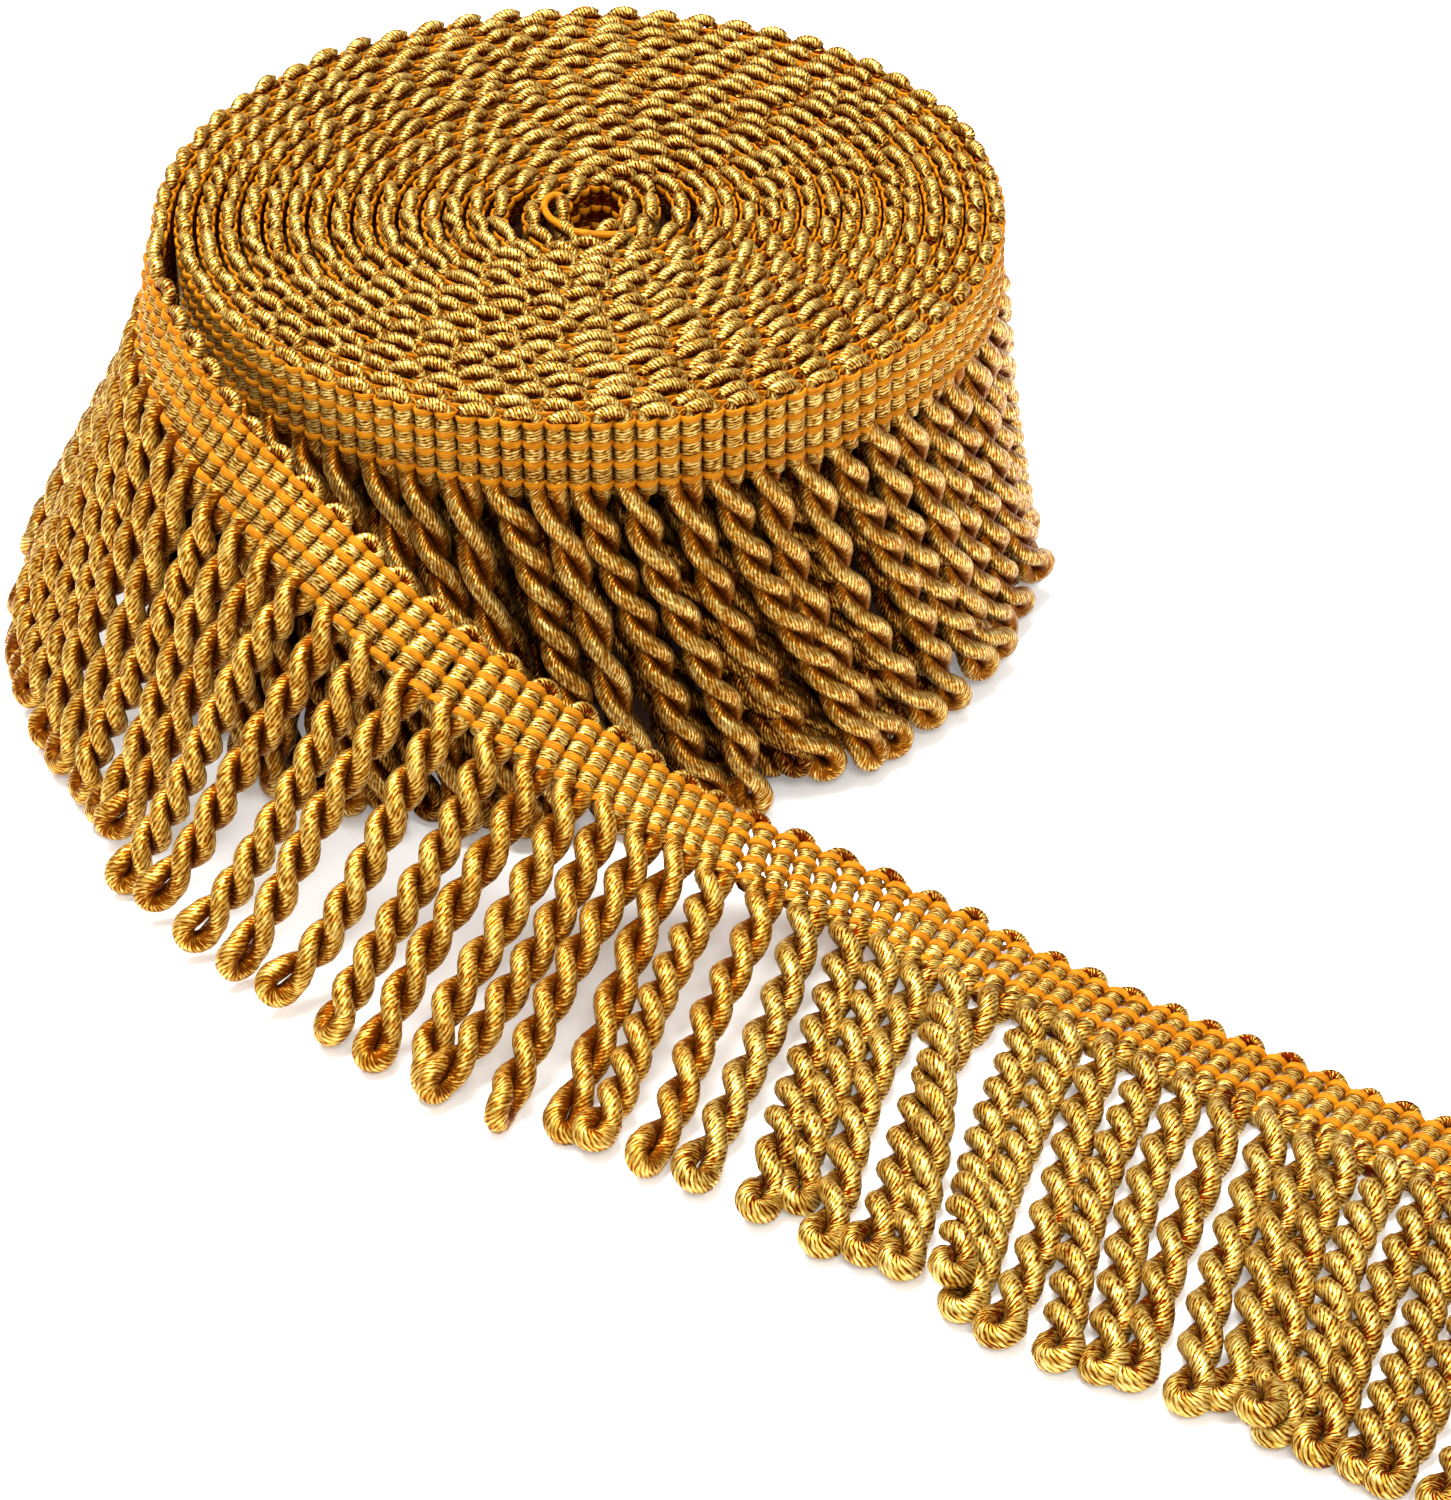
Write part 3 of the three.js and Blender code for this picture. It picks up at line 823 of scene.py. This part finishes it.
def cord_number(turns_in):
    """An odd cord number close to so many turns in from the outside: loops join odd to even cords."""
    return int(along_at_angle(LEAVING_ANGLE - 360 * turns_in) / CORD_PITCH) // 2 * 2 + 1


WALL_FIRST = cord_number(WALL_TURNS)
FULL_FIRST = cord_number(FULL_TURNS)
EYE_FIRST = 1
EYE_LAST = cord_number(TURNS - EYE_TURNS)

make_piece(
    "roll_cords",
    [
        cord_loops(columns(spiral, EYE_FIRST, EYE_LAST), FULL_LEG),
        cord_loops(columns(spiral, EYE_LAST, FULL_FIRST, LOOP_WANDER), SHORT_LEG),
        cord_loops(columns(spiral, FULL_FIRST, ROLL_CORDS), FULL_LEG, sides=12, bend=WALL_LOOP),
    ],
    gold_heading_shaded,
    ["roll"],
)

# %% [markdown]
# ## The warp rows
# Four rows of orange yarn hold the cords side by side. On the face each row shows as a band over every cord
# and dives between them, so the yarn is a flat tube that follows the round of each cord. A swell table gives
# that round: the place across one cord, in cords, and how far out the yarn lies there. Between the turns of
# the roll only a thin line of the top row shows, so a plainer swell does there.

# %% Warp rows
ROW_DEPTHS = [1.75 * MM, 4.15 * MM, 6.5 * MM, 9.05 * MM]
ROW_HALF_HEIGHT = 0.42 * MM
ROW_HALF_THICK = 0.2 * MM
ROW_NARROW = 0.6
ROW_SUNK = 0.03 * MM
ROW_SCATTER = 0.08 * MM
ROW_SLANT = 0.12 * MM
ROW_SIDES = 8
ROW_BOXY = 0.75
ROUND_SWELL = [(-0.5, -0.1), (-0.43, 0.35), (-0.3, 0.8), (-0.1, 1.0), (0.1, 1.0), (0.3, 0.8), (0.43, 0.35)]
PLAIN_SWELL = [(-0.5, 0.4), (-0.25, 0.9), (0.25, 0.9)]


def warp_row(
    frame_at,
    first,
    last,
    depth,
    side,
    swell=ROUND_SWELL,
    thick=ROW_HALF_THICK,
    tall=ROW_HALF_HEIGHT,
    deep=COLUMN_DEEP,
    salt=9,
):
    """side is 1 on the band's face and -1 on its back, deep the half thickness of the cords below."""
    shares = np.array([s for s, _ in swell])
    heights = np.array([h for _, h in swell])
    number = np.arange(first, last)
    along = ((number[:, None] + 0.5 + shares) * CORD_PITCH).ravel()
    out = np.tile(heights, len(number)) * (deep - ROW_SUNK)
    slant = np.tile(shares, len(number)) * 2 * ROW_SLANT
    lift = slant + np.repeat(ROW_SCATTER * uneven(number, salt), len(shares))
    f = frame_at(along)
    line = f["edge"] + (depth - lift)[:, None] * f["down"] + (side * out)[:, None] * f["face"]
    tall = tall * (ROW_NARROW + (1 - ROW_NARROW) * np.tile(np.clip(2 * heights, 0, 1), len(number)))
    return tubes(line[None], -side * f["face"][None], thick, tall, ROW_SIDES, boxy=ROW_BOXY)


print(len(ROW_DEPTHS), "warp rows across the heading")

# %% Warp rows of the roll
INNER_ROW_DEPTH = 1.8 * MM
INNER_ROW_HALF_THICK = 0.16 * MM

roll_rows = [
    warp_row(spiral, EYE_LAST, WALL_FIRST, INNER_ROW_DEPTH, 1, PLAIN_SWELL, INNER_ROW_HALF_THICK),
    warp_row(spiral, EYE_LAST, ROLL_CORDS, INNER_ROW_DEPTH, -1, PLAIN_SWELL, INNER_ROW_HALF_THICK),
]
for k, depth in enumerate(ROW_DEPTHS):
    roll_rows.append(warp_row(spiral, WALL_FIRST, ROLL_CORDS, depth, 1, salt=20 + k))
    roll_rows.append(warp_row(spiral, EYE_FIRST, EYE_LAST, depth, -1, salt=30 + k))
print(len(roll_rows), "lengths of warp yarn in the roll")

# %% [markdown]
# The start of the trim shows in the eye of the roll: a loose end of orange yarn curls over the inner turns.
# It is one tube on a smooth curve through listed points, `sunk` below the top of the roll.

# %% Loose yarn in the eye
EYE_YARN_COLUMNS = ("x", "y", "sunk")
EYE_YARN = [
    (-1.9, -0.4, 1.2),
    (-2.5, 0.5, 0.3),
    (-3.5, 0.5, 0.1),
    (-4.4, -1.6, 0.1),
    (-3.8, -4.0, 0.3),
    (-2.7, -5.6, 0.3),
    (-1.6, -6.6, 0.5),
    (0.2, -7.1, 0.6),
    (2.3, -7.4, 0.65),
    (4.2, -7.0, 0.8),
    (5.4, -6.0, 1.1),
    (6.0, -4.4, 1.6),
]
EYE_YARN_RADIUS = 0.42 * MM
EYE_YARN_TOP = ROLL_HEIGHT - 0.2 * MM
EYE_YARN_SAMPLES = 6

yarn = table(EYE_YARN, EYE_YARN_COLUMNS)
yarn_points = np.stack([yarn["x"], yarn["y"], -yarn["sunk"]], axis=1) * MM + EYE_YARN_TOP * UP
yarn_line, _ = centripetal(yarn_points, EYE_YARN_SAMPLES)
roll_rows.append(tubes(yarn_line[None], UP, EYE_YARN_RADIUS, EYE_YARN_RADIUS, ROW_SIDES))
make_piece("roll_warps", roll_rows, orange_warp)

# %% [markdown]
# ## How a strand hangs
# Each strand leaves the heading down the band, bends a little and comes to rest with its end on the table.
# Its length is known, so the place of the end follows from it: it is moved outwards until the line is as
# long as the strand. Halving the range again and again finds that place quickly for all strands at once.

# %% Strand lines
LINE_POINTS = 33
HALVINGS = 24


def strand_lines(roots, out, toe, landing, length):
    """Curves from the roots. out and landing are their first and last directions, toe their way outwards."""
    t = np.linspace(0, 1, LINE_POINTS)[None, :, None]
    length = np.asarray(length)[:, None]
    floor_height = STRAND_RADIUS * np.linalg.norm(landing[:, :2], axis=1)[:, None]
    near, far = 0 * length, length
    for _ in range(HALVINGS):
        reach = (near + far) / 2
        end = roots * [1, 1, 0] + floor_height * UP + reach * toe
        p1 = roots + ROOT_PULL * length * out
        p2 = end - END_PULL * length * landing
        line = (1 - t) ** 3 * roots[:, None] + 3 * t * (1 - t) ** 2 * p1[:, None]
        line = line + 3 * t**2 * (1 - t) * p2[:, None] + t**3 * end[:, None]
        made = np.linalg.norm(np.diff(line, axis=1), axis=2).sum(axis=1)[:, None]
        near, far = np.where(made < length, reach, near), np.where(made < length, far, reach)
    return line


def even_steps(line, shares):
    run = np.concatenate([[0], np.cumsum(np.linalg.norm(np.diff(line, axis=0), axis=1))])
    at = shares * run[-1]
    return np.stack([np.interp(at, run, line[:, k]) for k in range(3)], axis=1)


print("strand lines of", LINE_POINTS, "points")

# %% [markdown]
# ## How a strand bends
# A real strand isn't a clean curve. It fans out, sways a little, may bow, and curls to one
# side near its end. All of these move its line sideways, along the band. On the table a strand also lies on
# top of the next where the two cross.

# %% Bent strands
PLY_RADIUS = 1.0 * MM
TIP_OPENING = 1.3 * MM
TIP_SCATTER = 0.2 * MM
TIP_LONG = 1.2
CURL_LENGTH = 8 * MM
SWAY_WAVE = 7 * MM
SWAY_PHASE = 3
ROOT_HELD = 8 * MM
SMOOTHED_POINTS = 7


def strand_axes(lines, length, along, salt, ply, steps, fan, curl, curl_side, sway, bow):
    """The bent middle lines of the strands, the run along them, their sideways direction and end openings."""
    number = np.arange(len(lines))
    tip_open = TIP_OPENING + TIP_SCATTER * uneven(number, salt + 5)
    body = 1 - (TIP_LONG * tip_open + ply) / length
    share = np.linspace(0, 1, steps)
    axes = np.stack([even_steps(line, share * end) for line, end in zip(lines, body)])
    run = share[None] * (body * length)[:, None]
    ahead = unit(np.gradient(axes, axis=1))
    side = unit(along[:, None] - ahead * dot(along[:, None], ahead))
    hook = np.clip(1 - (run[:, -1:] - run) / CURL_LENGTH, 0, 1) ** 2
    hook = hook * (curl * (curl_side + (1 - abs(curl_side)) * uneven(number, salt + 3)))[:, None]
    wave = np.sin(run / SWAY_WAVE + SWAY_PHASE * uneven(number, salt + 4)[:, None])
    wave = wave * np.clip(run / ROOT_HELD, 0, 1)
    turn = fan * uneven(number, salt + 8)[:, None] * run
    bend = np.asarray(bow)[..., None] * np.sin(math.pi * share)
    axes = axes + (hook + sway * wave + turn + bend)[..., None] * side
    return axes, run, side, tip_open


def lay_over(axes, run, width):
    """Lets each strand lie on top of the one after it where the two cross."""
    smoothing = np.ones(SMOOTHED_POINTS) / SMOOTHED_POINTS
    for lower, upper in zip(axes[:0:-1], axes[-2::-1]):
        apart = np.linalg.norm(upper[:, None, :2] - lower[None, :, :2], axis=-1)
        nearest = apart.argmin(axis=1)
        rise = np.sqrt(np.clip(width**2 - apart.min(axis=1) ** 2, 0, None))
        wanted = np.where(rise > 0, lower[nearest, 2] + rise, 0)
        wanted = np.convolve(np.pad(wanted, SMOOTHED_POINTS // 2, mode="edge"), smoothing, mode="valid")
        wanted = wanted * np.clip(run[0] / ROOT_HELD, 0, 1)
        upper[:, 2] = np.maximum(upper[:, 2], wanted)


print("sway grows over the first", ROOT_HELD / MM, "mm of a strand")

# %% [markdown]
# ## How a strand is twisted
# Two cords twist round each other and close in a loop at the end: one cord, folded and let go, winds up by
# itself. So a strand is a single tube that winds down, turns round at the end and winds back up beside
# itself. It opens a little at the root, where its cords come from two columns, and at the end loop. A strand
# has a whole number of half turns, so its end loop lies flat to the band but for a turn of its own.

# %% Twisted strands
TWIST_LENGTH = 9.4 * MM
TWIST_SCATTER = 0.26
ROOT_STRAIGHT = 1.4 * MM
ROOT_SCATTER = 0.8
ROOT_OPENING = 4.5 * MM
LOOP_LENGTH = 0.9 * MM
LOOP_OPENING = 2.4 * MM
OPENING_POWER = 1.5
LOOP_ROUND = np.linspace(0, math.pi, 11)[1:-1]
TIP_SWELL = 0.14
CROSSING_WIDTH = 2.6


def twist(axes, run, side, tip_open, salt, ply, end_turn, lay, sides):
    """Winds a cord down and back up round each middle line."""
    number = np.arange(len(axes))
    ahead = unit(np.gradient(axes, axis=1))
    side = unit(side - ahead * dot(side, ahead))
    front = np.cross(ahead, side)
    length = run[:, -1:]
    straight = ROOT_STRAIGHT * (1 + ROOT_SCATTER * uneven(number, salt + 9)[:, None])
    twisted_length = length - straight - LOOP_LENGTH
    half_turns = 2 * twisted_length / (TWIST_LENGTH * np.reshape(lay, (-1, 1)))
    half_turns = np.round(half_turns * (1 + TWIST_SCATTER * uneven(number, salt + 2)[:, None]))
    wound = math.pi * half_turns * np.clip((run - straight) / twisted_length, 0, 1)
    phase = math.pi - wound + end_turn * uneven(number, salt + 6)[:, None] * run / length
    near_end = np.clip(1 - (length - run) / LOOP_OPENING, 0, 1) ** OPENING_POWER
    near_root = np.clip(1 - run / ROOT_OPENING, 0, 1) ** OPENING_POWER
    spread = ply + (CORD_PITCH / 2 - ply) * near_root
    spread = spread + (tip_open[:, None] - ply) * near_end
    arm = np.cos(phase)[..., None] * side + np.sin(phase)[..., None] * front
    swing = spread[..., None] * arm
    opening = tip_open[:, None, None] * np.ones((1, len(LOOP_ROUND), 1))
    tip_arm, tip_ahead = arm[:, -1:], ahead[:, -1:]
    loop_arm = opening * np.cos(LOOP_ROUND)[None, :, None] * tip_arm
    loop_ahead = TIP_LONG * opening * np.sin(LOOP_ROUND)[None, :, None] * tip_ahead
    middle = np.concatenate([axes, axes[:, -1:] + 0 * loop_arm, axes[:, ::-1]], axis=1)
    path = middle + np.concatenate([swing, loop_arm + loop_ahead, -swing[:, ::-1]], axis=1)
    swell = np.concatenate([near_end, np.ones((len(axes), len(LOOP_ROUND))), near_end[:, ::-1]], axis=1)
    radius = ply * (1 + TIP_SWELL * swell)
    path[..., 2] = np.maximum(path[..., 2], radius)
    return tubes(path, middle - path, radius, radius, sides, uneven(number, salt + 7))


def twisted(
    lines,
    length,
    along,
    salt,
    ply=PLY_RADIUS,
    steps=60,
    sides=9,
    fan=0.05,
    curl=1.5 * MM,
    curl_side=0.0,
    sway=0.5 * MM,
    bow=0.0,
    end_turn=1.0,
    lay=1.0,
    resting=False,
):
    """ply is the cord's radius. fan, curl, sway and bow bend a strand, end_turn turns its end loop, lay
    stretches its twist, and resting lets strands lie over each other."""
    bends = (ply, steps, fan, curl, curl_side, sway, bow)
    axes, run, side, tip_open = strand_axes(lines, length, along, salt, *bends)
    if resting:
        lay_over(axes, run, CROSSING_WIDTH * ply)
    return twist(axes, run, side, tip_open, salt, ply, end_turn, lay, sides)


print("twist every", TWIST_LENGTH * 1000, "mm")

# %% [markdown]
# ## Strands round the roll
# The outermost turn's strands stand in front, and the strands of the turns behind it show in the gaps between
# them. So the outermost turn is made in full and three more turns with fewer points. Where the loose end
# leaves the roll, the start of the outermost turn hangs no strands, because the loose end hides it.

# %% Outer strands of the roll
ROLL_PLY = 1.05 * MM

hanging_table = table(HANGING, HANGING_COLUMNS)


def hanging_strands(turn_in, hidden, salt, **twist_settings):
    """The strands of one turn, counted from the outside, without the hidden degrees at its start."""
    start = along_at_angle(LEAVING_ANGLE - 360 * (turn_in + 1) + hidden)
    stop = along_at_angle(LEAVING_ANGLE - 360 * turn_in)
    number = np.arange(math.ceil(start / STRAND_PITCH), int(stop / STRAND_PITCH))
    f = spiral((number + 0.5) * STRAND_PITCH)
    roots = f["edge"] + (HEADING_WIDTH - FOOT_WIDTH / 2) * f["down"]
    degrees = f["angle"] + 360 * turn_in
    share = 1 - (LEAVING_ANGLE - degrees) / (360 - HIDDEN_ANGLE)
    rows = np.linspace(0, 1, len(HANGING))
    lean = np.interp(share, rows, hanging_table["lean"])
    length = np.interp(share, rows, hanging_table["length"]) * MM
    toe = on_circle(degrees + lean + HANG_UNEVEN * uneven(number, 1))
    lines = strand_lines(roots, f["down"], toe, unit(toe - HANG_STEEPNESS * UP), length)
    lay = np.interp(share, rows, hanging_table["lay"])
    return twisted(lines, length, f["along"], salt, lay=lay, **twist_settings)


# The outer turn's strands wear a deeper, redder gold: painted shade.
make_piece(
    "roll_strands",
    [hanging_strands(0, HIDDEN_ANGLE, 40, ply=ROLL_PLY)],
    gold_hanging_shaded,
    ["roll_fringe"],
)

# %% Inner strands of the roll
# The inner turns' strands wear the darkest gold: painted shade for strands that little light reaches.
make_piece(
    "inner_strands",
    [
        hanging_strands(1, 0, 60, steps=44, sides=6, fan=0.1),
        hanging_strands(2, 0, 80, steps=36, sides=5, fan=0.12),
        hanging_strands(3, 0, 100, steps=36, sides=5, fan=0.15),
    ],
    gold_inner_shaded,
)

# %% [markdown]
# The core stands for all the strands that are packed inside the roll. It is one wide tube with a closed top,
# set back behind the inner strands, and it also closes the eye below the innermost turn. Its sections give a
# height and a radius in millimetres. Its dark brown, speckled with the seam shade, is painted shade: gold
# strands so deep in the roll that little light reaches them.

# %% Packed core
# Painted shade: the core's dark brown, speckled with the seam shade.
CORE_SHADE_BROWN = (0.09, 0.022, 0.002)
CORE_SECTIONS = [(0.4, 38), (20, 37), (41, 36)]
CORE_SIDES = 96
CORE_NOISE = 700
ACROSS = np.array([1.0, 0, 0])

core_finish, core_tree, core_shader = new_finish("packed_shaded_brown")
core_place = core_tree.nodes.new("ShaderNodeTexCoord").outputs["Object"]
core_steps = [(0.4, CORE_SHADE_BROWN), (0.75, GOLD_SEAM_SHADE)]
core_colour = colour_steps(core_tree, noise(core_tree, core_place, CORE_NOISE), core_steps)
core_tree.links.new(core_colour, core_shader.inputs["Base Color"])
core_shader.inputs["Roughness"].default_value = 0.7

core_line = np.array([[(0, 0, z) for z, _ in CORE_SECTIONS]]) * MM
core_radius = np.array([r for _, r in CORE_SECTIONS]) * MM
core_tube = tubes(core_line, ACROSS, core_radius, core_radius, CORE_SIDES)
make_piece("packed_core", [core_tube], core_finish)

# %% [markdown]
# ## The loose end
# The loose heading is the same weave as the roll's, only a little slacker, and it is seen from both sides,
# so the warp rows are made on its face and back. It starts one loop early, on the bend that joins it to
# the roll. Where it is wider, its cords are drawn out thinner. Its strands hang from the sloping part and lie
# on the table further on, with their end loops curling mostly to one side.

# %% Loose heading
JOIN_CORD = -1
LOOSE_CORDS = 2 * LOOSE_STRANDS
LOOSE_DEEP = 0.86 * MM
LOOSE_LEG = HEADING_WIDTH + 0.3 * MM
SLACK_NARROWING = 0.09

loop_places = (np.arange(JOIN_CORD, LOOSE_CORDS - 1, 2) + 1) * CORD_PITCH
loose_wide = COLUMN_WIDE - SLACK_NARROWING * (loose_value("wide", loop_places) * MM - HEADING_WIDTH)
loose_loops = cord_loops(
    columns(loose_uneven, JOIN_CORD, LOOSE_CORDS),
    LOOSE_LEG,
    wide=loose_wide,
    deep=LOOSE_DEEP,
    sides=10,
    bend=SLACK_LOOP,
)
loose_cords = make_piece("loose_cords", [loose_loops], gold_heading_shaded, ["loose_heading"])

# %% Warp rows of the loose heading
LOOSE_ROW_DEPTHS = [2.1 * MM, 4.15 * MM, 6.7 * MM, 9.1 * MM]
LOOSE_ROW_HALF_HEIGHT = 0.46 * MM

loose_warp_rows = []
for k, depth in enumerate(LOOSE_ROW_DEPTHS):
    for side in (1, -1):
        row = warp_row(
            loose_uneven,
            JOIN_CORD,
            LOOSE_CORDS,
            depth,
            side,
            tall=LOOSE_ROW_HALF_HEIGHT,
            deep=LOOSE_DEEP,
            salt=100 + 2 * k + side,
        )
        loose_warp_rows.append(row)
loose_warps = make_piece("loose_warps", loose_warp_rows, orange_warp)

# %% Loose strands
JOIN_STRAND = -1
SLOPING_PLY = 1.08 * MM
LYING_PLY = 1.12 * MM


def loose_strands(first, last, salt, **twist_settings):
    number = np.arange(first, last)
    along = (number + 0.5) / LOOSE_STRANDS * LOOSE_LENGTH
    f = loose_uneven(along)
    length = (loose_value("length", along) + fitted("longer", number)) * MM
    roots = f["edge"] + (HEADING_WIDTH - FOOT_WIDTH / 2) * f["down"]
    roots[:, 2] = np.maximum(roots[:, 2], STRAND_RADIUS)
    toe = on_circle(loose_value("toe", along) + fitted("turn", number))
    landing = unit(toe - roots[:, 2:] / length[:, None] * UP)
    lines = strand_lines(roots, unit(f["down"]), toe, landing, length)
    return twisted(lines, length, f["along"], salt, bow=fitted("bow", number) * MM, **twist_settings)


sloping_tubes = loose_strands(JOIN_STRAND, HANGING_STRANDS, 120, ply=SLOPING_PLY, fan=0.02)
hanging = make_piece(
    "loose_strands_hanging",
    [sloping_tubes],
    gold_sloping_shaded,
    ["loose_fringe_hanging"],
)
lying_tubes = loose_strands(
    HANGING_STRANDS,
    LOOSE_STRANDS,
    140,
    ply=LYING_PLY,
    fan=0.0,
    curl_side=-0.3,
    end_turn=0.3,
    resting=True,
)
lying = make_piece(
    "loose_strands_lying",
    [lying_tubes],
    gold_strand,
    ["loose_fringe_lying"],
)
